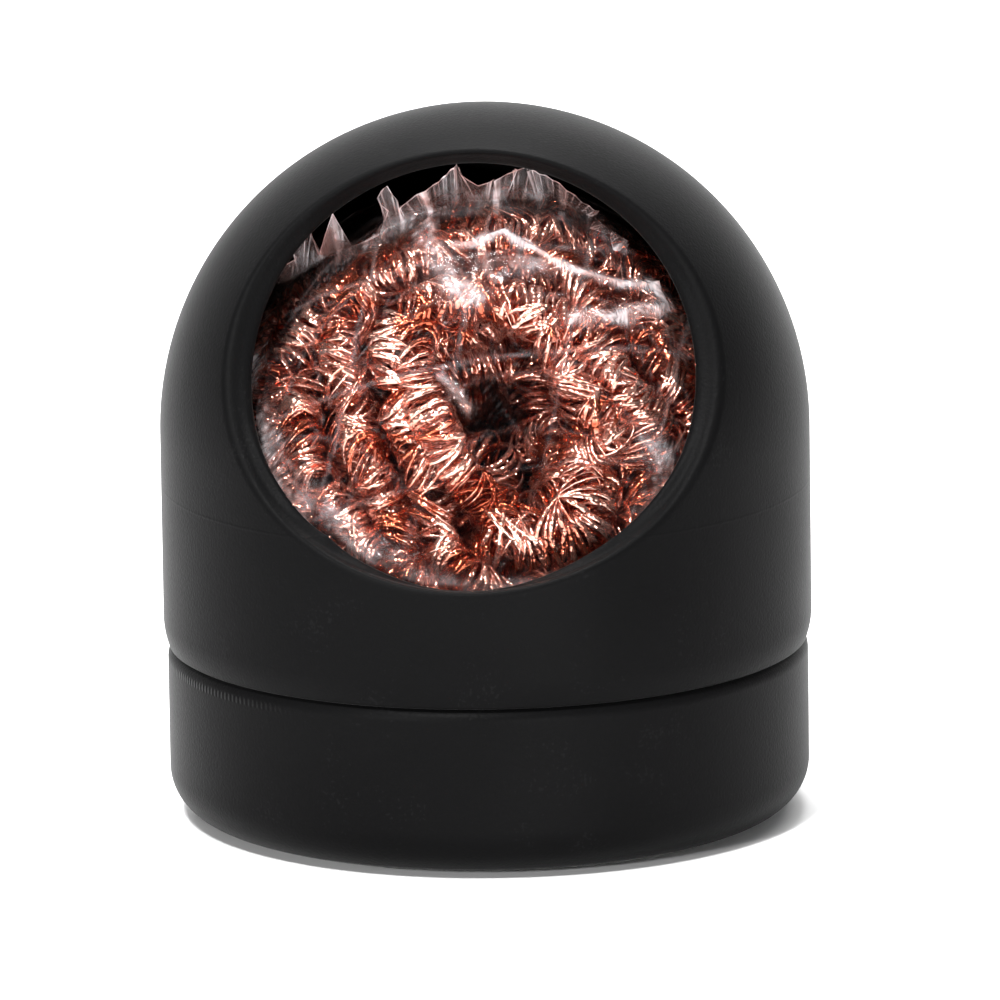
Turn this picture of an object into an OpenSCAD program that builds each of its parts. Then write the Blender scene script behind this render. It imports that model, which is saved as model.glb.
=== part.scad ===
// Soldering iron tip cleaner and stand: a soft dome with a round mouth pushes down over a collar on a
// shallow base cup, and holds a ball of curled copper ribbon in a clear film bag.
// Origin: the centre of the resting face. +Z is up, and the mouth faces -Y, tilted upwards.

/* [Overall] */
// Diameter of the dome
overall_d = 68; // [66:0.5:72]
// Height from the bench to the crown
overall_h = 75; // [73:0.5:78]

/* [Dome] */
// Wall thickness of the dome
dome_wall = 2.7; // [2.5:0.1:2.9]
// Radius of the mouth where it meets the inside of the dome
mouth_r = 23.1; // [21:0.1:23.5]
// Angle of the mouth's axis above level
mouth_tilt = 25.2; // [22:0.2:27]
// Widening of the mouth's sides, per mm outwards
mouth_flare = 2; // [1.6:0.1:2.2]
// Height of the widened shape over its width
mouth_oval = 0.75; // [0.7:0.01:0.78]

/* [Base cup] */
// Height of the seam between the dome and the cup
seam_z = 18.4; // [17.5:0.1:19.5]
// How much smaller the cup's radius is than the dome's
cup_step = 0.4; // [0.2:0.1:0.6]
// Radius of the cup's rounded foot
cup_foot_round = 5; // [4:0.5:6]
// Thickness of the cup's floor above its underside
cup_floor = 5.5; // [5:0.1:6]
// Height of the collar above the seam
collar_h = 6.2; // [5:0.2:7]
// Wall thickness of the collar
collar_wall = 2.3; // [2.1:0.1:2.4]
// Radial clearance between the collar and the dome's skirt
collar_gap = 0.08; // [0.05:0.01:0.1]

/* [Foot ring] */
// Outer radius of the foot ring
foot_r = 27.5; // [26:0.5:28]
// Width of the foot ring
foot_w = 7; // [5:0.5:8]
// Thickness of the foot ring
foot_t = 1.2; // [1.1:0.1:1.4]
// How far the foot ring stands below the cup
foot_proud = 0.4; // [0.3:0.1:0.5]

/* [Sponge] */
// Radius of the ball of curled ribbon
ball_r = 29; // [28.6:0.1:29]
// Radius of the bundle that one curled ribbon makes
bundle_r = 6.6; // [6.2:0.1:6.6]
// Angle of the winding axis above level
wind_tilt = 22; // [18:1:28]
// Angle of the winding axis to the side of the mouth
wind_turn = 6; // [-10:1:10]
// Angle between the winding axis and the front bundle, seen from the ball's centre
front_angle = 36; // [36:0.5:37]
// Angle between one outer bundle and the next
bundle_step = 35.2; // [35.1:0.1:35.3]

/* [Film bag] */
// Thickness of the film bag
film_t = 0.2; // [0.2:0.05:0.25]
// Radius of the film bag's open top
film_mouth_r = 11; // [9:0.5:14]

/* [Hidden] */
$fn = 160;

dome_r = overall_d / 2;
dome_z = overall_h - dome_r;         // centre of the dome's round top
cavity_r = dome_r - dome_wall;
skirt_round = 8;                     // arc that draws the skirt's lower edge in
skirt_round_h = 3;

cup_r = dome_r - cup_step;
cup_z0 = foot_proud;                 // underside of the cup
cup_rim_round = 0.9;
collar_r = cavity_r - collar_gap;
cup_cavity_r = collar_r - collar_wall;
floor_z = cup_z0 + cup_floor;
floor_round = 3;                     // fillet between the cup's floor and wall
collar_z = seam_z + collar_h;
collar_round = 0.7;

foot_slack = 0.1;                    // gap round the foot ring in its groove

film_gap = 0.25;                     // slack between the ribbons and the film
film_r = ball_r + film_gap;
ball_z = floor_z + 0.15 + film_r + film_t;

orbit_r = ball_r - bundle_r;         // from the ball's centre to an outer bundle's centre line
heart_r = 7.3;                       // ring radius and place of the two inner bundles
heart_w = 5.6;
root_r = 7.9;
root_w = -6.7;
root_bundle_r = 5.2;

over = 1;                            // how far a cutting shape runs past what it cuts

// Half outline of a round-topped post: a quarter disc of radius r over a rectangle down to z0.
module post_outline(r, z0) {
    translate([0, z0]) square([r, dome_z - z0]);
    intersection() {
        translate([0, dome_z]) circle(r);
        translate([0, dome_z]) square([r, r]);
    }
}

// What a round of radius r takes off an outer corner whose arc is centred on (cx, cz), going down.
module lower_corner(cx, cz, r) {
    difference() {
        translate([cx, cz - r - over]) square([r + over, r + over]);
        translate([cx, cz]) circle(r);
    }
}

// The same for an upper corner.
module upper_corner(cx, cz, r) {
    difference() {
        translate([cx, cz]) square([r + over, r + over]);
        translate([cx, cz]) circle(r);
    }
}

// Places children on an axis that leaves the dome's or the ball's centre towards -Y, tilted up.
module aimed(z, tilt, turn = 0) {
    translate([0, 0, z]) rotate([0, 0, turn]) rotate([90 - tilt, 0, 0]) children();
}

// Shape that cuts the mouth: a round bore, widened sideways by an oval cone.
module mouth_cutter() {
    inner_w = sqrt(cavity_r * cavity_r - mouth_r * mouth_r);
    length = dome_r - inner_w + over;
    flare_r = mouth_r + mouth_flare * length;
    aimed(dome_z, mouth_tilt) {
        cylinder(h = dome_r + over, r = mouth_r);
        translate([0, 0, inner_w])
            scale([1, mouth_oval, 1])
            cylinder(h = length, r1 = mouth_r, r2 = flare_r);
    }
}

module dome_cover() {
    color("#1b1c1e")
        difference() {
            rotate_extrude()
                difference() {
                    post_outline(dome_r, seam_z);
                    post_outline(cavity_r, seam_z - over);
                    lower_corner(dome_r - skirt_round, seam_z + skirt_round_h, skirt_round);
                }
            mouth_cutter();
        }
}

module base_cup() {
    color("#17181a")
        rotate_extrude()
            difference() {
                union() {
                    translate([0, cup_z0]) square([cup_r, seam_z - cup_z0]);
                    translate([0, cup_z0]) square([collar_r, collar_z - cup_z0]);
                }
                cup_cavity_outline();
                lower_corner(cup_r - cup_foot_round, cup_z0 + cup_foot_round, cup_foot_round);
                upper_corner(cup_r - cup_rim_round, seam_z - cup_rim_round, cup_rim_round);
                upper_corner(collar_r - collar_round, collar_z - collar_round, collar_round);
                foot_groove_outline();
            }
}

// The cup's inside, with a rounded floor corner.
module cup_cavity_outline() {
    translate([0, floor_z]) square([cup_cavity_r - floor_round, collar_z]);
    translate([0, floor_z + floor_round]) square([cup_cavity_r, collar_z]);
    translate([cup_cavity_r - floor_round, floor_z + floor_round]) circle(floor_round);
}

module foot_groove_outline() {
    depth = foot_t - foot_proud;
    translate([foot_r - foot_w - foot_slack, cup_z0 - over])
        square([foot_w + 2 * foot_slack, depth + over]);
}

module foot_ring() {
    color("#0f1011")
        rotate_extrude() translate([foot_r - foot_w, 0]) square([foot_w, foot_t]);
}

// A thin round bag, open at the top.
module film_bag() {
    color([0.9, 0.92, 0.95, 0.35])
        translate([0, 0, ball_z])
            rotate_extrude()
                difference() {
                    circle(film_r + film_t);
                    circle(film_r);
                    translate([-2 * film_r, -2 * film_r]) square([2 * film_r, 4 * film_r]);
                    translate([0, 0]) square([film_mouth_r, 2 * film_r]);
                }
}

// Outer shape of one curled ribbon, wound round the ball's winding axis.
module bundle(ring_r, offset_w, r = bundle_r) {
    color("#b4654a")
        aimed(ball_z, wind_tilt, wind_turn)
            translate([0, 0, offset_w])
                rotate_extrude() translate([ring_r, 0]) circle(r);
}

// One of the four bundles that make the outside of the ball, counted from the front.
module outer_bundle(i) {
    angle = front_angle + i * bundle_step;
    bundle(orbit_r * sin(angle), orbit_r * cos(angle));
}

module ribbon_front() { outer_bundle(0); }
module ribbon_rim() { outer_bundle(1); }
module ribbon_waist() { outer_bundle(2); }
module ribbon_back() { outer_bundle(3); }
module ribbon_heart() { bundle(heart_r, heart_w); }
module ribbon_root() { bundle(root_r, root_w, root_bundle_r); }

base_cup();
foot_ring();
dome_cover();
film_bag();
ribbon_front();
ribbon_rim();
ribbon_waist();
ribbon_back();
ribbon_heart();
ribbon_root();
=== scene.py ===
"""A soldering tip cleaning stand: a soft black dome over a ball of curled copper ribbon in film."""

import bpy
import numpy as np
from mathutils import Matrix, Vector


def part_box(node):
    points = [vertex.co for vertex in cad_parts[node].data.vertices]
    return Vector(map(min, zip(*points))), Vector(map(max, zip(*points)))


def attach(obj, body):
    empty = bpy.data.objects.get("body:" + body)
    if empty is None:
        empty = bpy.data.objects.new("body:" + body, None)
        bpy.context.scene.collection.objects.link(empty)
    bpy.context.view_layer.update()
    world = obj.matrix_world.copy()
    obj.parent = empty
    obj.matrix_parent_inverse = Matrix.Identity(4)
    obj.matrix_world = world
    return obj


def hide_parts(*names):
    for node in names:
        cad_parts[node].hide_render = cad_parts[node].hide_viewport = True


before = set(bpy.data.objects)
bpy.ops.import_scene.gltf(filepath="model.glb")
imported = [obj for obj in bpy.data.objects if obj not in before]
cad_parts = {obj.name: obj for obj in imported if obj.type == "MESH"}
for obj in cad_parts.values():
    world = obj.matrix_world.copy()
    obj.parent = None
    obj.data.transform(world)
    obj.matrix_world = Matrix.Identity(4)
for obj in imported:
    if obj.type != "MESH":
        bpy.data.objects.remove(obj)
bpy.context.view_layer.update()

MM = 0.001  # every size below is in millimetres, and a mesh is made in metres

# ---------------------------------------------------------------- foot ring
# A flat ring of soft non-slip rubber, pressed into a groove under the base cup. It is the only part
# that touches the bench, and all of it has the same dull moulded skin with a fine grain.


def rounded(corners, closed=False):
    """Outline through corners (r, z, fillet): each corner becomes an arc that is tangent to both sides.
    A side keeps one extra point just past each arc, so that smooth shading stays flat along it."""
    spots = [np.array(c[:2], float) for c in corners]
    outline = []
    for i, (r, z, fillet) in enumerate(corners):
        if not closed and i in (0, len(corners) - 1):
            outline.append(spots[i])
            continue
        back = spots[i - 1] - spots[i]
        ahead = spots[(i + 1) % len(spots)] - spots[i]
        back /= np.linalg.norm(back)
        ahead /= np.linalg.norm(ahead)
        half = 0.5 * np.arccos(np.clip(back @ ahead, -1, 1))
        reach = fillet / np.tan(half)
        middle = (back + ahead) / np.linalg.norm(back + ahead)
        centre = spots[i] + middle * fillet / np.sin(half)
        start = spots[i] + back * reach - centre
        end = spots[i] + ahead * reach - centre
        outline.append(centre + start + back * 0.12)
        sweep = np.pi - 2 * half
        for t in np.linspace(0, 1, 4 + int(fillet * 3)):
            arc = np.sin((1 - t) * sweep) * start + np.sin(t * sweep) * end
            outline.append(centre + arc / np.sin(sweep))
        outline.append(centre + end + ahead * 0.12)
    return np.array(outline)


def grid_faces(rows, columns, rows_closed, columns_closed=True):
    """Quads of a grid of points. The last row joins the first if rows_closed, and columns likewise."""
    i, j = np.meshgrid(np.arange(rows if rows_closed else rows - 1),
                       np.arange(columns if columns_closed else columns - 1), indexing="ij")
    ahead, beside = (i + 1) % rows, (j + 1) % columns
    quads = [i * columns + j, i * columns + beside, ahead * columns + beside, ahead * columns + j]
    return np.stack(quads, -1).reshape(-1, 4)


def piece(name, points, faces, material, slot, body, *nodes):
    """Makes a smooth mesh from points in mm, and rides it on its body in place of the CAD nodes.
    Faces are turned round if the volume that they enclose comes out negative."""
    faces = [np.asarray(f) for f in faces]
    volume = sum(
        np.einsum("ij,ij->i", points[f[:, 0]], np.cross(points[f[:, k]], points[f[:, k + 1]])).sum()
        for f in faces for k in range(1, f.shape[1] - 1))
    turn = -1 if volume < 0 else 1
    mesh = bpy.data.meshes.new(name)
    mesh.from_pydata(points * MM, [], [corners[::turn].tolist() for f in faces for corners in f])
    mesh.shade_smooth()
    mesh.materials.append(material)
    made = bpy.data.objects.new(name, mesh)
    bpy.context.scene.collection.objects.link(made)
    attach(made, body)
    if nodes:
        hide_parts(*nodes)
    return made


def lathe(outline, columns, closed):
    """Turns an outline (r, z) about Z: x = r cos a, y = r sin a. An open one starts and ends on Z."""
    body = outline if closed else outline[1:-1]
    angle = np.linspace(0, 2 * np.pi, columns, endpoint=False)
    ring = np.stack([np.cos(angle), np.sin(angle)], -1)
    points = np.empty((len(body), columns, 3))
    points[..., :2] = body[:, None, :1] * ring
    points[..., 2] = body[:, 1:]
    points = points.reshape(-1, 3)
    faces = [grid_faces(len(body), columns, closed)]
    if not closed:
        first, last = np.arange(columns), np.arange(columns) + len(points) - columns
        poles = len(points) + np.array([[0], [1]]) * np.ones(columns, int)
        faces.append(np.stack([poles[0], np.roll(first, -1), first], -1))
        faces.append(np.stack([poles[1], last, np.roll(last, -1)], -1))
        points = np.vstack([points, [[0, 0, outline[0, 1]], [0, 0, outline[-1, 1]]]])
    return points, faces


class Wire:
    """One output of a shader node. Arithmetic on wires adds Math nodes, and new() adds any other."""

    def __init__(self, node, output=0):
        self.tree = node.id_data
        self.socket = node.outputs[output] if node.outputs else None

    def new(self, kind, settings=None, values=None, output=0):
        """A new node of a kind: its settings first, then the values or wires of its sockets."""
        node = self.tree.nodes.new(kind)
        for key, value in (settings or {}).items():
            if key == "stops":
                ramp = node.color_ramp.elements
                while len(ramp) < len(value):
                    ramp.new(0.5)
                for stop, (position, colour) in zip(ramp, value):
                    stop.position, stop.color = position, colour
            else:
                setattr(node, key, value)
        for key, value in (values or {}).items():
            if isinstance(value, Wire):
                self.tree.links.new(value.socket, node.inputs[key])
            else:
                node.inputs[key].default_value = value
        return Wire(node, output)

    def math(self, operation, a, b=0):
        """A Math node on a and b."""
        return self.new("ShaderNodeMath", {"operation": operation}, {0: a, 1: b})

    def __add__(self, other):
        return self.math("ADD", self, other)

    def __sub__(self, other):
        return self.math("SUBTRACT", self, other)

    def __mul__(self, other):
        return self.math("MULTIPLY", self, other)

    def __rsub__(self, other):
        return self.math("SUBTRACT", other, self)

    __radd__ = __add__
    __rmul__ = __mul__

    def noise(self, scale, detail=3.0, roughness=0.5):
        """Soft noise from 0 to 1, with scale in repeats per metre."""
        return self.new("ShaderNodeTexNoise", {}, {"Vector": self, "Scale": scale, "Detail": detail,
                                                   "Roughness": roughness})

    def step(self, low, high):
        """0 below low and 1 above high, with a smooth change between them."""
        return self.new("ShaderNodeMapRange", {"interpolation_type": "SMOOTHSTEP"},
                        {"Value": self, "From Min": low, "From Max": high})

    def mix(self, dark, light):
        """A colour from dark to light, as this wire goes from 0 to 1."""
        return self.new("ShaderNodeMix", {"data_type": "RGBA"},
                        {"Factor": self, "A": dark, "B": light}, "Result")


def new_material(name):
    """A material with no nodes, and the wire of its Object coordinates."""
    made = bpy.data.materials.new(name)
    made.use_nodes = True
    made.node_tree.nodes.clear()
    return made, Wire(made.node_tree.nodes.new("ShaderNodeTexCoord"), "Object")


def show(shader):
    """Joins a shader to its material's output."""
    shader.new("ShaderNodeOutputMaterial", {}, {"Surface": shader})


foot_rubber, place = new_material("foot_rubber")
grain = place.noise(2600)
cloud = place.noise(160)
show(place.new("ShaderNodeBsdfPrincipled", {}, {
    "Base Color": cloud.mix((0.010, 0.010, 0.011, 1), (0.022, 0.022, 0.023, 1)),
    "Roughness": 0.62 + 0.2 * cloud,
    "Normal": place.new("ShaderNodeBump", {}, {"Height": grain, "Strength": 0.35, "Distance": 0.0001})}))

foot_low, foot_high = (np.array(corner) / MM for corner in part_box("foot_ring"))
foot_r = foot_high[0]
foot_w = 7.0  # width of the ring
foot_outline = rounded([
    (foot_r - foot_w, foot_low[2], 0.3), (foot_r, foot_low[2], 0.3),
    (foot_r, foot_high[2], 0.1), (foot_r - foot_w, foot_high[2], 0.1)], closed=True)
piece("foot_ring_moulded", *lathe(foot_outline, 160, True), foot_rubber, "foot_rubber", "base",
      "foot_ring")

# ---------------------------------------------------------------- base cup
# A shallow cup of matt black silicone, moulded in one piece. Its rim is a rounded ledge that the dome
# stands on, and the thinner collar above the ledge holds the dome's skirt.


def silicone(name, line_z, tick_z):
    """Matt black silicone: a fine powdery grain, specks of dust, a faint cloudy polish, a soft sheen,
    and a hairline where the mould parts at line_z. If tick_z isn't 0, the mould's edge left a short band
    of fine upright ticks there: a sine of the angle round Z."""
    made, spot = new_material(name)
    grain = spot.noise(3200, 2.0)
    cloud = spot.noise(55, 4.0)
    across, along, height = (spot.new("ShaderNodeSeparateXYZ", {}, {0: spot}, axis) for axis in "XYZ")
    line = 1 - spot.math("ABSOLUTE", height - line_z * MM).step(0.0, 0.22 * MM)
    relief = 0.6 * grain + 0.3 * line
    dust = (spot.noise(3000, 0.0) * spot.noise(160, 2.0)).step(0.42, 0.45)
    if tick_z:
        turn = spot.math("ARCTAN2", along, across)
        band = 1 - spot.math("ABSOLUTE", height - tick_z * MM).step(0.2 * MM, 0.5 * MM)
        side = turn.step(-2.9, -2.8) * (1 - turn.step(-2.3, -2.1))
        relief = relief - 0.5 * band * side * spot.math("SINE", turn * 320)
    show(spot.new("ShaderNodeBsdfPrincipled", {}, {
        "Base Color": (cloud * 0.6 + dust).mix((0.0016, 0.0016, 0.0017, 1), (0.0046, 0.0046, 0.0048, 1)),
        "Roughness": 0.36 + 0.12 * cloud + 0.12 * grain,
        "Specular IOR Level": 0.032,
        "Sheen Weight": 0.05,
        "Sheen Roughness": 0.35,
        "Normal": spot.new("ShaderNodeBump", {}, {"Height": relief, "Strength": 0.45,
                                                  "Distance": 0.00012})}))
    return made


base_silicone = silicone("base_silicone", 1.0, 17.0)

cup_low, cup_high = (np.array(corner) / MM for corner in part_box("base_cup"))
dome_low, dome_high = (np.array(corner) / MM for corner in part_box("dome_cover"))
ledge = dome_low[2]
cup_r = cup_high[0]
cup_under = cup_low[2]
collar_step, collar_wall, floor_t = 2.38, 2.3, 5.5
collar_r = cup_r - collar_step
well_r = collar_r - collar_wall
cup_floor = cup_under + floor_t
groove = foot_high[2]
groove_slack = 0.1
groove_in, groove_out = foot_r - foot_w - groove_slack, foot_r + groove_slack
cup_outline = rounded([
    (0, cup_under, 0), (groove_in, cup_under, 0.1), (groove_in, groove, 0.1),
    (groove_out, groove, 0.1), (groove_out, cup_under, 0.1), (cup_r, cup_under, 5.0),
    (cup_r, ledge, 1.3), (collar_r, ledge, 0.15), (collar_r, cup_high[2], 0.7),
    (well_r, cup_high[2], 0.5), (well_r, cup_floor, 3.0), (0, cup_floor, 0)])
piece("base_cup_moulded", *lathe(cup_outline, 256, False), base_silicone, "base_silicone", "base",
      "base_cup")

# ---------------------------------------------------------------- ribbon ball
# Long flat copper ribbons, cut as swarf on a lathe, so each is curled like a spring about 4 mm across.
# The curls are wound lap by lap round a tilted axis into a ball, which leaves a dark hollow in front.

ball_low, ball_high = (np.array(corner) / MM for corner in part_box("film_bag"))
ball_r = 29.0  # the ribbons' ball, inside its film
ball_centre = np.array([0, 0, ball_low[2] + ball_high[0]])
curl_r = 2.1  # radius of a ribbon's curls
wind_tilt, wind_turn = np.radians(22.0), np.radians(6.0)
wind_axis = np.array([np.sin(wind_turn) * np.cos(wind_tilt), -np.cos(wind_turn) * np.cos(wind_tilt),
                      np.sin(wind_tilt)])
wind_side = np.cross([0, 0, 1], wind_axis)
wind_side /= np.linalg.norm(wind_side)
wind_up = np.cross(wind_axis, wind_side)
hollow_pull = [5.4, 0, -1.6]  # how far laps near the winding axis are drawn aside


def waver(x, seed, waves=5):
    """Smooth noise of x, about -1 to 1: a sum of sines with seeded rates, from 0.5 to 2, and phases."""
    pick = np.random.default_rng(seed)
    rates, phases = pick.uniform(0.5, 2.0, waves), pick.uniform(0, 2 * np.pi, waves)
    return np.sin(x[..., None] * rates + phases).sum(-1) / np.sqrt(waves)


def stir(points, reach, size, seed):
    """Moves points sideways round the ball by smooth noise of their place, so that laps meander, and
    draws those near the winding axis down to the right, where the hollow is."""
    q = (points - ball_centre) / size
    push = np.stack([waver(q @ way, seed + k) for k, way in enumerate(
        np.random.default_rng(seed).normal(size=(3, 3)))], -1)
    out = q / np.maximum(np.linalg.norm(q, axis=1, keepdims=True), 1e-6)
    push -= out * (push * out).sum(1, keepdims=True)
    near = np.exp(-((points - ball_centre - 26 * wind_axis) ** 2).sum(1) / 16 ** 2)[:, None]
    moved = points + reach * push + near * hollow_pull - ball_centre
    return ball_centre + moved * (np.linalg.norm(points - ball_centre, axis=1)
                                  / np.linalg.norm(moved, axis=1))[:, None]


def settle(points, lopsided):
    """The ball is no true sphere: its top stands up to 1.8 mm taller, by the square of the height above
    44 mm. The ribbons do so only right of the middle, and the film, which turns, all the way round."""
    lift = 1.8 * np.clip((points[:, 2] - 44) / 20, 0, 1.2) ** 2
    if lopsided:
        right = np.clip((points[:, 0] + 14) / 14, 0, 1)
        lift *= right * right * (3 - 2 * right)
    return points + np.array([0, 0, 1]) * lift[:, None]


def unit(v):
    """Vectors made 1 long, along the last axis."""
    return v / np.linalg.norm(v, axis=-1, keepdims=True)


def curled_ribbon(laps, seed, pitch=0.68, sides=14):
    """One ribbon. Its middle line makes one lap round the winding axis for each (angle, radius) from
    the ball's centre, and slides from lap to lap. The ribbon runs round that line as a spring: place =
    line + curl radius x (cos, sin) of a phase that grows by a turn per pitch, with wavering pitch,
    radius and lean. Its section is a flat strip, wide along the line and thin outwards."""
    pick = np.random.default_rng(seed)
    laps = np.array(laps, float)
    count = 400 * len(laps)
    lap = np.linspace(0, len(laps), count)
    # The lap's slot changes over a fifth of a turn, at a place of its own.
    slot = np.clip(lap - 0.5, 0, len(laps) - 1)
    whole = np.floor(slot)
    part = np.clip((slot - whole - 0.4) / 0.2, 0, 1)
    slot = np.minimum(whole + part * part * (3 - 2 * part), len(laps) - 1)
    slots = np.arange(len(laps))
    polar = np.radians(np.interp(slot, slots, laps[:, 0]) + 2.6 * waver(lap * 9, seed + 1))
    radius = np.interp(slot, slots, laps[:, 1]) + 0.7 * waver(lap * 14, seed + 2)
    # Here and there the spring dives into the ball, and its turns face outwards.
    dives = np.arange(0.2, len(laps), 0.36)
    for dive in dives + pick.uniform(-0.12, 0.12, len(dives)):
        ring = np.sin(np.interp(dive, lap, polar)) * ball_r * 2 * np.pi
        radius -= pick.uniform(2.0, 4.6) * np.exp(-((lap - dive) * ring / 3.0) ** 2)
    turn = 2 * np.pi * lap + pick.uniform(0, 2 * np.pi)
    spoke = np.cos(turn)[:, None] * wind_side + np.sin(turn)[:, None] * wind_up
    aim = np.cos(polar)[:, None] * wind_axis + np.sin(polar)[:, None] * spoke
    line = ball_centre + radius[:, None] * aim
    line = stir(line, 2.6, 12.0, 40)
    walked = np.concatenate([[0], np.cumsum(np.linalg.norm(np.diff(line, axis=0), axis=1))])
    # Phase of the spring, from a wavering pitch.
    fine = np.linspace(0, walked[-1], int(walked[-1] * 8))
    local = pitch * np.exp(0.35 * waver(fine * 1.1, seed + 3) + 0.4 * waver(fine * 3.1, seed + 4))
    phase = np.concatenate([[0], np.cumsum(np.diff(fine) / local[1:])]) * 2 * np.pi
    steps = np.arange(0, phase[-1], 2 * np.pi / sides)
    s = np.interp(steps, phase, fine)
    at = np.stack([np.interp(s, walked, line[:, k]) for k in range(3)], -1)
    ahead = np.stack([np.interp(s + 0.6, walked, line[:, k]) - np.interp(s - 0.6, walked, line[:, k])
                      for k in range(3)], -1)
    ahead = unit(ahead + 1e-6 * wind_axis)
    out = unit(at - ball_centre)
    out = unit(out - ahead * (out * ahead).sum(1, keepdims=True))
    beside = np.cross(ahead, out)
    turn = steps + 0.35 * waver(s * 0.9, seed + 5)
    swell = curl_r * (1 + 0.07 * waver(s * 0.8, seed + 6) + 0.05 * waver(s * 3.0, seed + 7)
                      + 0.05 * waver(steps * 1.6, seed + 12) + 0.10 * waver(steps * 0.4, seed + 13))
    away = np.cos(turn)[:, None] * out + np.sin(turn)[:, None] * beside
    lean = 0.6 * waver(s * 0.5, seed + 8) * np.cos(turn) + 0.6 * waver(s * 0.6, seed + 9) * np.sin(turn)
    lean += 0.36 * waver(steps * 0.37, seed + 14)
    way = at + swell[:, None] * (away + lean[:, None] * ahead)
    far = np.linalg.norm(way - ball_centre, axis=1)
    way = ball_centre + (way - ball_centre) * np.minimum(1, (ball_r - 0.15) / far)[:, None]
    run = unit(np.gradient(way, axis=0))
    flat = unit(away - run * (away * run).sum(1, keepdims=True))
    wide = np.cross(run, flat)
    tip = (0.6 * waver(s * 1.1, seed + 10) + 0.35 * waver(steps * 0.9, seed + 15))[:, None]
    flat, wide = flat * np.cos(tip) + wide * np.sin(tip), wide * np.cos(tip) - flat * np.sin(tip)
    half_w, half_t = 0.28 + 0.06 * waver(s * 0.4, seed + 11)[:, None], 0.05
    way = settle(way, True)
    corners = [way + a * half_w * wide + b * half_t * flat
               for a, b in ((-1, -1), (1, -1), (1, 1), (-1, 1))]
    points = np.stack(corners, 1).reshape(-1, 3)
    ends = np.array([[3, 2, 1, 0], np.arange(4) + len(points) - 4])
    return points, [grid_faces(len(way), 4, False), ends]


copper, place = new_material("copper_ribbon")
cloud = place.noise(190, 2.0)
fleck = place.noise(900, 2.0)
show(place.new("ShaderNodeBsdfPrincipled", {}, {
    "Base Color": (0.75 * cloud + 0.25 * fleck).step(0.4, 0.62).mix(
        (0.50, 0.11, 0.055, 1), (1.0, 0.56, 0.45, 1)),
    "Metallic": 0.93,
    "Roughness": 0.07 + 0.18 * fleck,
    "Normal": place.new("ShaderNodeBump", {}, {"Height": place.noise(1300, 1.0), "Strength": 0.75,
                                               "Distance": 0.0004})}))

# Radii of the laps in the skin and of those under them, and the angles of bundles and rows.
outer, inner = ball_r - curl_r - 0.1, ball_r - 3 * curl_r - 0.3
front_angle, bundle_step, row = 36.0, 35.2, 8.8


def bundle(i):
    """Laps of the bundle i places behind the front one: four in the ball's skin, two under them."""
    middle = front_angle + bundle_step * i
    skin = [(middle + row * k, outer) for k in (-1.5, -0.5, 0.5, 1.5)]
    return skin + [(middle + row, inner), (middle - row, inner)]


ribbons = {
    "ribbon_front": [(25.5, outer)] + bundle(0)[1:], "ribbon_rim": bundle(1), "ribbon_waist": bundle(2),
    "ribbon_back": bundle(3), "ribbon_heart": [(34, 14.5), (55, 13.5), (75, 13.5), (22, 7.5)],
    "ribbon_root": [(170, outer - 1), (145, 13), (120, 11)]}
for seed, (name, laps) in enumerate(ribbons.items()):
    piece(name + "_curled", *curled_ribbon(laps, 100 * seed + 7), copper, "copper_ribbon", "sponge",
          name)

# ---------------------------------------------------------------- film bag
# The ball is still in the thin clear bag that it was packed in. The bag is crumpled tight round the
# ball, with creases drawn as lighter lines that are partly whitened film and partly painted highlights,
# and its open top stands up in ragged points behind the mouth.


def crumple(q, seed, folds):
    """Height of crumpled film at q: a sum of triangle waves, each along a direction of its own and bent
    by a sine across it, so flat facets meet in sharp creases. The second result is how sharp the fold is
    there, up to 0.45, and 0 off it; the film's material draws it as lighter lines, partly painted
    highlights."""
    pick = np.random.default_rng(seed)
    height, crease = np.zeros(len(q)), np.zeros(len(q))
    largest = 11.0
    for size in np.geomspace(largest, 2.6, folds):
        way = unit(pick.normal(size=3))
        bend = unit(pick.normal(size=3))
        phase = (q @ way) / size + 0.8 * np.sin((q @ bend) / (1.6 * size) + pick.uniform(0, 6.3))
        wave = np.abs((phase % 1.0) * 2 - 1)
        height += wave * size
        sharp = np.clip(1 - wave / 0.05, 0, 1) * 0.45 * np.clip(size / largest, 0.1, 1)
        crease = np.maximum(crease, sharp)
    return height / largest / folds, crease


ALONG = 0.3  # spacing of the points along a fold


def on_ball(route, r):
    """Points along a route of (x, z) places on the front of a ball of radius r, ALONG apart."""
    route = np.array(route, float)
    walked = np.concatenate([[0], np.cumsum(np.linalg.norm(np.diff(route, axis=0), axis=1))])
    t = np.arange(0, walked[-1], ALONG)
    x, z = (np.interp(t, walked, route[:, k]) for k in (0, 1))
    depth = np.maximum(r * r - x * x - (z - ball_centre[2]) ** 2, 0)
    return np.stack([x, -np.sqrt(depth), z], -1)


def nearest(points, route):
    """Distance from each point to the nearest point of a route."""
    least = np.full(len(points), np.inf)
    for spot in route:
        least = np.minimum(least, ((points - spot) ** 2).sum(1))
    return np.sqrt(least)


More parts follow.
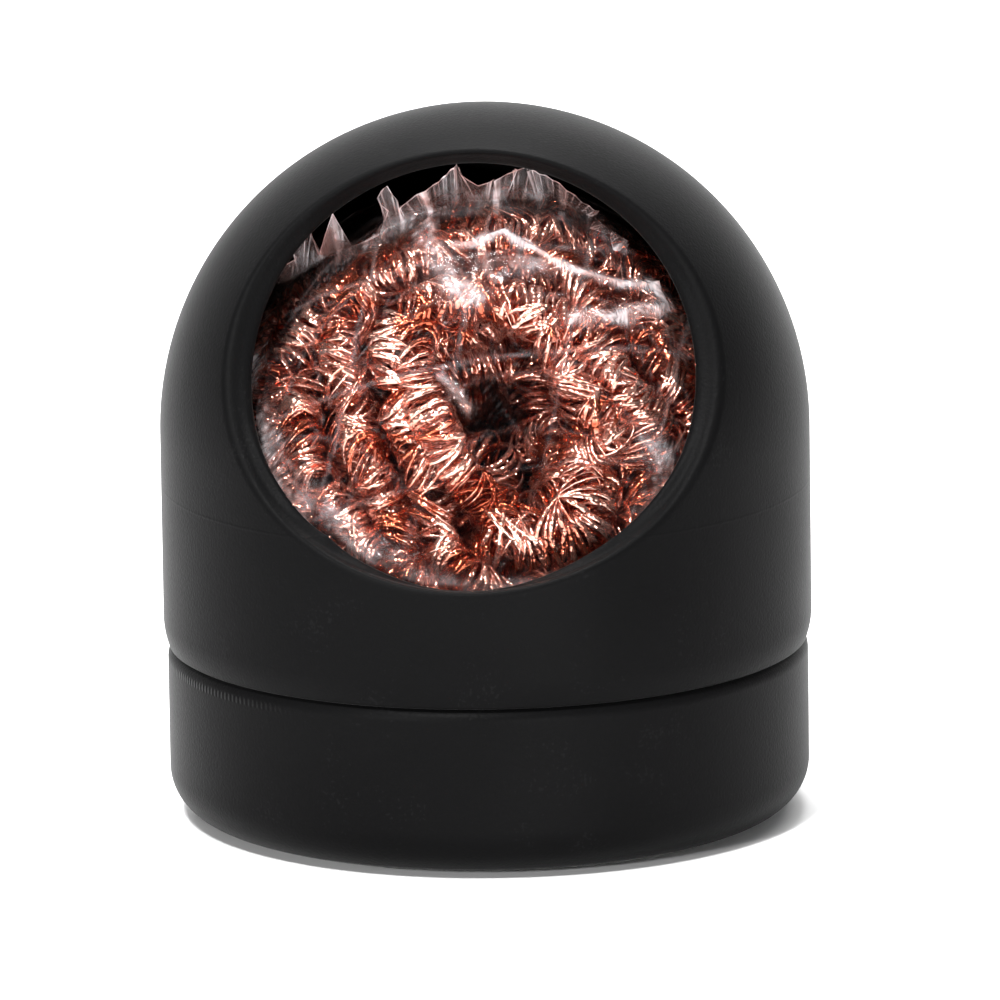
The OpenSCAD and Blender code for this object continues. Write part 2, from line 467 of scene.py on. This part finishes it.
# Where the film is doubled over: places (x, z) along each fold, its width, height and milkiness.
FOLDS = [
    ([(-5.5, 64), (-4, 60.5), (-2, 58.5), (0.5, 57.5)], 1.5, 0.2, 0.5),
    ([(-2, 61), (3, 62), (7.5, 60), (14, 57.5), (18, 56.5)], 0.5, 0.5, 0.8),
    ([(18, 56.5), (19, 55), (14.5, 55), (10, 55.5)], 0.7, 0.5, 0.8),
    ([(1, 60), (7, 59.5)], 1.3, 0.3, 0.4),
    ([(-3, 51), (-1, 49.5), (0, 48)], 0.3, 0.15, 0.5),
    ([(-23, 54), (-23, 48), (-21, 41), (-18, 37)], 2.2, 0.2, 0.75),
    ([(-18, 40), (-15, 38), (-11, 34.5), (-5, 31.5)], 1.5, 0.15, 0.32),
    ([(-5, 31.5), (3, 30), (9, 31)], 0.9, 0.5, 0.3),
    ([(18, 44), (20, 40), (17, 36)], 1.4, 0.4, 0.45)]


dome_wall = 2.7
film_room = 0.25  # least gap between the film and the dome


def within_dome(points):
    """Draws points in to film_room inside the dome's hollow, which is a round-topped post."""
    room = dome_high[0] - dome_wall - film_room
    middle = np.array([0, 0, dome_high[2] - dome_high[0]])
    away = points - middle
    away[:, 2] = np.maximum(away[:, 2], 0)
    far = np.linalg.norm(away, axis=1)
    return points - away * (1 - np.minimum(1, room / np.maximum(far, 1e-9)))[:, None]


def film_surface(rows=254, columns=388):
    """The bag as a grid round the ball's own upright axis: row 0 is its pleated open top, and the last
    row all but closes underneath. radius = ball + slack + crumples + folds. The results are its points,
    how sharp the creases are at each, for lighter lines that are partly painted highlights, how milky
    the film is, and its faces."""
    a = np.linspace(0, 2 * np.pi, columns, endpoint=False)
    down = np.linspace(0, 1, rows)[:, None]
    pleat = np.abs((a / (2 * np.pi) * 26 + 0.4 * waver(a, 17)) % 1.0 * 2 - 1)
    edge = 19 + 3 * waver(np.cos(a) * 2, 6) + 3 * waver(np.sin(a) * 2.4, 16) + 7 * pleat
    polar = np.radians(edge + (179.6 - edge) * down)
    way = np.stack([np.sin(polar) * np.cos(a), np.sin(polar) * np.sin(a),
                    np.cos(polar) * np.ones_like(a)], -1).reshape(-1, 3)
    skin = ball_centre + way * ball_r
    height, crease = crumple(way * ball_r, 12, 7)
    radius = ball_r + 0.3 + 1.3 * height
    haze = np.zeros(len(way))
    for k, (route, width, ridge, milk) in enumerate(FOLDS):
        middle = on_ball(route, ball_r)
        apart = nearest(skin, middle)
        radius += ridge * np.exp(-apart / (0.6 * width))
        haze = np.maximum(haze, 0.6 * milk * np.exp(-(apart / width) ** 2))
        # Three sharp lighter lines wander along each fold: partly whitened film, partly painted
        # highlights.
        along = np.arange(len(middle)) * ALONG
        for line in range(3):
            seed = 50 + 9 * k + 3 * line
            wander = np.stack([waver(along * 1.1, seed + axis) for axis in range(3)], -1)
            strand = ball_centre + unit(middle + 0.8 * width * wander - ball_centre) * ball_r
            crease = np.maximum(crease, 2.4 * milk * np.exp(-(nearest(skin, strand) / 0.24) ** 2))
    # Over the ball's front the film is clear, so its creases' lighter lines, partly painted highlights,
    # fade out there.
    calm = np.exp(-((way * ball_r - [1, -28.5, 3]) ** 2).sum(1) / 19 ** 2)
    crease *= 1 - calm
    points = within_dome(settle(ball_centre + way * radius[:, None], False))
    return points, crease, haze, [grid_faces(rows, columns, False)]


def film_top(rows=40, columns=620):
    """The bag's gathered top: a strip that leaves the ball along a path and stands up to a ragged edge.
    Each column of the strip runs from a little below the path to the edge, folded forwards and back by
    triangle waves of x. The results are as film_surface gives them."""
    x = np.linspace(-21.5, 15.5, columns)
    path = [(-21.5, 56), (-16, 59.5), (-10, 62), (-6.5, 63.5), (-1, 64.5), (4, 64.5), (8, 64),
            (12, 62.5), (15.5, 60.5)]
    ragged = [(-21.5, 57.5), (-19, 61), (-17, 65.5), (-15.5, 61.5), (-14.5, 66), (-13.5, 62.5),
              (-11, 64), (-8.5, 69), (-7.5, 66), (-5.5, 68), (-1, 71.5), (0.5, 68.5), (3.5, 70),
              (6.5, 69.5), (11, 65), (15.5, 61)]
    foot_z, edge_z = (np.interp(x, *np.array(route).T) for route in (path, ragged))
    t = np.linspace(-0.6, 1, rows)[:, None]
    low_z = foot_z + 3 * np.minimum(t, 0)
    low_y = -np.sqrt(np.maximum((ball_r + 0.8) ** 2 - x ** 2 - (low_z - ball_centre[2]) ** 2, 1.0))
    low = settle(np.stack([x + 0 * t, low_y, low_z], -1).reshape(-1, 3), False).reshape(rows, columns, 3)
    fold = np.abs((x / 3.3 + 0.5 * waver(x * 0.5, 32)) % 1.0 * 2 - 1) - 0.5
    small = np.abs((x / 1.2 + 0.4 * waver(x * 0.7, 33)) % 1.0 * 2 - 1) - 0.5
    rise = np.clip(t, 0, 1)
    out = np.stack([0.8 * waver(x * 0.45, 35) + 1.2 * fold + 0 * t,
                    -1.0 + 3.0 * fold * rise + 0.9 * small + 1.4 * waver(x * 0.2, 34),
                    edge_z - low[-1, :, 2] + 0 * t], -1)
    points = (low + rise[..., None] * out).reshape(-1, 3)
    # Painted highlight lines along the ragged rim and the fold crests, passed on as the creases'
    # sharpness.
    rim = np.clip(1 - (1 - t) / 0.05, 0, 1) * np.ones_like(x)
    sharp, fine = (np.clip(1 - np.abs(np.abs(wave) - 0.5) / 0.1, 0, 1) for wave in (fold, small))
    glint = 2.5 * np.maximum(rim, np.maximum(sharp, 0.6 * fine) * rise)
    haze = (0.22 + 0.7 * np.clip(waver(x * 2.5, 36), 0, 1) ** 2) * np.clip(1 + t / 0.3, 0, 1)
    faces = [grid_faces(rows, columns, False, columns_closed=False)]
    return within_dome(points), glint.reshape(-1), haze.reshape(-1), faces


clear_film, place = new_material("clear_film")
crease = place.new("ShaderNodeAttribute", {"attribute_name": "crease"}, {}, "Fac")
haze = place.new("ShaderNodeAttribute", {"attribute_name": "haze"}, {}, "Fac")
facet = place.new("ShaderNodeTexVoronoi", {}, {"Vector": place, "Scale": 330, "Randomness": 1.0},
                  "Distance")
patchy = place.noise(300, 3.0, 0.6).step(0.4, 0.62)
normal = place.new("ShaderNodeBump", {}, {"Height": facet + 0.5 * place.noise(700, 3.0),
                                          "Strength": 0.7, "Distance": 0.0009})
edge_on = place.new("ShaderNodeLayerWeight", {}, {"Blend": 0.2, "Normal": normal}, "Fresnel")
# The film's milky white is tinted pink: a painted reflection of the copper under it.
skin = place.new("ShaderNodeBsdfPrincipled", {}, {
    "Base Color": patchy.mix((0.88, 0.56, 0.52, 1), (1.0, 0.90, 0.92, 1)),
    "Roughness": 0.08 + 0.25 * haze, "Metallic": 0.12, "Specular IOR Level": 1.0, "Normal": normal})
gone = place.new("ShaderNodeBsdfTransparent")
# How much of the film shows: its glassy edges by Fresnel, its milky patches, and its creases, whose
# lighter lines are partly painted highlights.
cover = 0.08 * edge_on + haze * (0.2 + 0.28 * patchy) + 0.36 * crease
show(place.new("ShaderNodeMixShader", {}, {0: place.math("MINIMUM", cover, 0.92), 1: gone, 2: skin}))


def film_piece(name, points, crease, haze, faces, *nodes):
    """A piece of the film, with its creases and milky patches as attributes for the material."""
    made = piece(name, points, faces, clear_film, "clear_film", "film", *nodes)
    made.data.attributes.new("crease", "FLOAT", "POINT").data.foreach_set("value", crease)
    made.data.attributes.new("haze", "FLOAT", "POINT").data.foreach_set("value", haze)
    return made


film = film_piece("film_bag_crumpled", *film_surface(), "film_bag")
film_ruff = film_piece("film_bag_top", *film_top())

# ---------------------------------------------------------------- dome cover
# A round-topped shell of soft matt black silicone, about 2.7 mm thick, moulded in one piece with its
# slanted mouth. The mouth's edge widens towards the sides and ends in a soft lip that is a bit uneven.

dome_r = dome_high[0]
crown = dome_high[2]
dome_z = crown - dome_r
hollow_r = dome_r - dome_wall
mouth_r = 23.1
mouth_tilt = np.radians(25.2)
mouth_axis = np.array([0, -np.cos(mouth_tilt), np.sin(mouth_tilt)])
mouth_up = np.array([0, np.sin(mouth_tilt), np.cos(mouth_tilt)])
join_z = ledge + 5.5  # where the skin's rows end in a level circle and the skirt begins
lip_round = 0.9
skirt_round, skirt_round_h = 8, 3


def meet(start, way, r):
    """Where the ray from start along way leaves a round-topped post of radius r: on its straight side
    below the dome's centre, and on its round top above it."""
    a = (way[:, :2] ** 2).sum(1)
    b = (start[:, :2] * way[:, :2]).sum(1)
    c = (start[:, :2] ** 2).sum(1) - r * r
    side = (-b + np.sqrt(np.maximum(b * b - a * c, 0))) / np.maximum(a, 1e-12)
    from_top = start - [0, 0, dome_z]
    a = (way ** 2).sum(1)
    b = (from_top * way).sum(1)
    c = (from_top ** 2).sum(1) - r * r
    top = (-b + np.sqrt(np.maximum(b * b - a * c, 0))) / a
    low = start[:, 2] + side * way[:, 2] < dome_z
    return start + np.where(low, side, top)[:, None] * way


def mouth_loop(reach, r, a):
    """Points at a distance reach from the mouth's axis, at angles a round it, on a post of radius r."""
    spoke = np.cos(a)[:, None] * [1, 0, 0] + np.sin(a)[:, None] * mouth_up
    start = [0, 0, dome_z] + reach[:, None] * spoke
    return meet(start, np.broadcast_to(mouth_axis, start.shape), r)


def skin_rows(loop, r, a, rows):
    """Rows of points on a post of radius r, from a loop round the mouth to the level circle at join_z:
    straight lines between the two, thrown out onto the post from a point inside it."""
    level = np.stack([r * np.cos(a), r * np.sin(a), np.full_like(a, join_z)], -1)
    heart = np.array([0, 0, 0.62 * dome_z + 0.38 * join_z])
    t = np.linspace(0, 1, rows)[:, None, None] ** 1.25
    line = (loop * (1 - t) + level * t).reshape(-1, 3)
    return meet(np.broadcast_to(heart, line.shape), line - heart, r).reshape(rows, -1, 3)


def bend(a, corner, b, rows):
    """A quadratic curve from a to b, pulled towards corner."""
    t = np.linspace(0, 1, rows)[1:-1, None, None]
    return a * (1 - t) ** 2 + 2 * corner * t * (1 - t) + b * t * t


def dome_shell(columns=288):
    """The dome as one closed grid: out over the skin from the mouth to the skirt, round the skirt's
    edge, up the inside, and out across the mouth's edge to where it began."""
    a = np.linspace(0, 2 * np.pi, columns, endpoint=False)
    flare = 0.35 + 2.15 * np.abs(np.cos(a)) ** 2.3
    uneven = 0.10 * waver(np.cos(a) * 3 + 1, 71) * waver(np.sin(a) * 3, 72)
    outer_edge = mouth_loop(mouth_r + flare + uneven, dome_r, a)
    inner_edge = mouth_loop(mouth_r - 0.3 * np.cos(a) ** 2 + 0.6 * uneven, hollow_r, a)
    outside = skin_rows(outer_edge, dome_r, a, 90)
    inside = skin_rows(inner_edge, hollow_r, a, 70)
    across = unit(inner_edge - outer_edge)
    width = np.linalg.norm(inner_edge - outer_edge, axis=1)[:, None]
    # The skin's rows are laid again from where the rounded edge leaves it, and the inside's likewise.
    leave = outer_edge + lip_round * unit(outside[1] - outside[0])
    leave = meet(np.zeros_like(leave) + [0, 0, dome_z], leave - [0, 0, dome_z], dome_r)
    outside = skin_rows(leave, dome_r, a, 90)
    enter = outer_edge + np.minimum(1.0, 0.35 * width) * across
    stop = inner_edge - np.minimum(0.5, 0.2 * width) * across
    back = inner_edge + 0.4 * unit(inside[1] - inside[0])
    back = meet(np.zeros_like(back) + [0, 0, dome_z], back - [0, 0, dome_z], hollow_r)
    inside = skin_rows(back, hollow_r, a, 70)
    cut = enter + (stop - enter) * np.linspace(0, 1, 9)[:, None, None]
    edge = np.concatenate([outside[:1], bend(leave, outer_edge, enter, 10), cut,
                           bend(stop, inner_edge, back, 9)])
    # The lip: a soft bead along the cut's inner half, fuller low on both sides, with a lump low left.
    t = np.linspace(0, 1, len(edge))[:, None]
    bead = 0.14 + 0.62 * np.exp(-((np.sin(a) + 0.62) / 0.4) ** 2) * (1 + 0.5 * waver(a * 4, 73))
    bead += 0.22 * np.exp(-((a - 4.0) / 0.07) ** 2)
    raised = unit(mouth_axis - across * (across @ mouth_axis)[:, None])
    edge[1:] += (bead * np.exp(-((t[1:] - 0.66) / 0.19) ** 2))[..., None] * raised
    # Straight skirt, drawn in by an arc over its last 3 mm, with its two lower corners rounded.
    z = np.linspace(join_z, ledge + 0.4, 22)[1:]
    drawn = np.maximum(ledge + skirt_round_h - z, 0)
    skirt_r = dome_r - skirt_round + np.sqrt(skirt_round ** 2 - drawn ** 2)
    foot_out = skirt_r[-1]
    low = [(foot_out - 0.08, ledge + 0.16), (foot_out - 0.25, ledge + 0.06), (foot_out - 0.55, ledge),
           (hollow_r + 0.5, ledge), (hollow_r + 0.15, ledge + 0.05), (hollow_r, ledge + 0.25)]
    up = [(hollow_r, z) for z in np.linspace(ledge + 0.6, join_z, 8)[:-1]]
    profile = np.concatenate([np.stack([skirt_r, z], -1), low, up])
    skirt = np.empty((len(profile), columns, 3))
    skirt[..., 0] = profile[:, :1] * np.cos(a)
    skirt[..., 1] = profile[:, :1] * np.sin(a)
    skirt[..., 2] = profile[:, 1:]
    shell = np.concatenate([outside, skirt, inside[::-1], edge[:0:-1]])
    return shell.reshape(-1, 3), [grid_faces(len(shell), columns, True)]


dome_silicone = silicone("dome_silicone", 35.6, 0)
piece("dome_cover_moulded", *dome_shell(), dome_silicone, "dome_silicone", "dome", "dome_cover")

# ---------------------------------------------------------------- studio
# A seamless pale sweep, one broad soft light overhead, a small one high in front and one low on each
# side, a wash on the sweep behind, and a long lens.


def sweep():
    """Floor that curves up into a back wall, in metres: a strip with a quarter-round bend."""
    bow = np.linspace(0, np.pi / 2, 24)
    y = np.concatenate([[-3.0], 1.2 + 0.8 * np.sin(bow), [2.0]])
    z = np.concatenate([[0.0], 0.8 - 0.8 * np.cos(bow), [3.2]])
    points = np.stack([np.stack([np.full_like(y, x), y, z], -1) for x in (-4.0, 4.0)])
    mesh = bpy.data.meshes.new("sweep")
    count = len(y)
    i = np.arange(count - 1)
    quads = np.stack([i, i + count, i + count + 1, i + 1], -1)
    mesh.from_pydata(points.reshape(-1, 3), [], quads.tolist())
    mesh.shade_smooth()
    return mesh


paper, place = new_material("paper")
show(place.new("ShaderNodeBsdfPrincipled", {}, {
    "Base Color": place.noise(3).mix((0.86, 0.86, 0.86, 1), (0.9, 0.9, 0.9, 1)), "Roughness": 0.9,
    "Specular IOR Level": 0.1}))
floor = bpy.data.objects.new("sweep", sweep())
floor.data.materials.append(paper)
bpy.context.scene.collection.objects.link(floor)


def soft_light(name, place, aim, size, power):
    """An oblong area light at place, turned to face aim, all in metres. Power is in watts."""
    lamp = bpy.data.lights.new(name, "AREA")
    lamp.shape, lamp.size, lamp.size_y, lamp.energy = "RECTANGLE", *size, power
    made = bpy.data.objects.new(name, lamp)
    made.location = place
    made.rotation_euler = (Vector(aim) - Vector(place)).to_track_quat("-Z", "Y").to_euler()
    bpy.context.scene.collection.objects.link(made)


soft_light("overhead", (0.0, 0.22, 0.72), (0, 0, 0.05), (0.32, 0.22), 5.2)
soft_light("front_high", (-0.22, -0.62, 0.85), (0, 0, 0.045), (0.12, 0.12), 14)
soft_light("front_left", (-0.5, -0.9, 0.3), (0, 0, 0.035), (0.08, 0.08), 7)
soft_light("front_right", (0.4, -0.95, 0.08), (0, 0, 0.035), (0.06, 0.06), 5)
soft_light("backdrop_wash", (0.0, 0.7, 1.6), (0, 1.6, 0.2), (2.4, 0.8), 60)

world = bpy.data.worlds.new("studio")
world.use_nodes = True
world.node_tree.nodes["Background"].inputs["Color"].default_value = (1, 1, 1, 1)
world.node_tree.nodes["Background"].inputs["Strength"].default_value = 0.13
bpy.context.scene.world = world
bpy.context.scene.view_settings.view_transform = "Standard"

view_turn, view_tilt, view_roll = np.radians([3.3, 12.6, -0.83])
towards = np.array([np.sin(view_turn) * np.cos(view_tilt), -np.cos(view_turn) * np.cos(view_tilt),
                    np.sin(view_tilt)])
right = np.array([np.cos(view_turn), np.sin(view_turn), 0])
above = np.cross(towards, right)
distance = 1.5  # metres from the lens to what it aims at
mm_high = 104.7  # height of the picture at the object
aim = np.array([0, 0, crown / 2]) + 1.47 * right - 4.34 * above
sensor = 36
lens = bpy.data.cameras.new("camera")
lens.sensor_width = sensor
lens.lens = sensor * distance / (mm_high * MM)
lens.clip_end = 20
camera = bpy.data.objects.new("camera", lens)
turned = np.array([right * np.cos(view_roll) + above * np.sin(view_roll),
                   above * np.cos(view_roll) - right * np.sin(view_roll), towards]).T
camera.matrix_world = (Matrix.Translation(aim * MM + towards * distance)
                       @ Matrix(turned.tolist()).to_4x4())
bpy.context.scene.collection.objects.link(camera)
bpy.context.scene.camera = camera

bpy.context.view_layer.update()
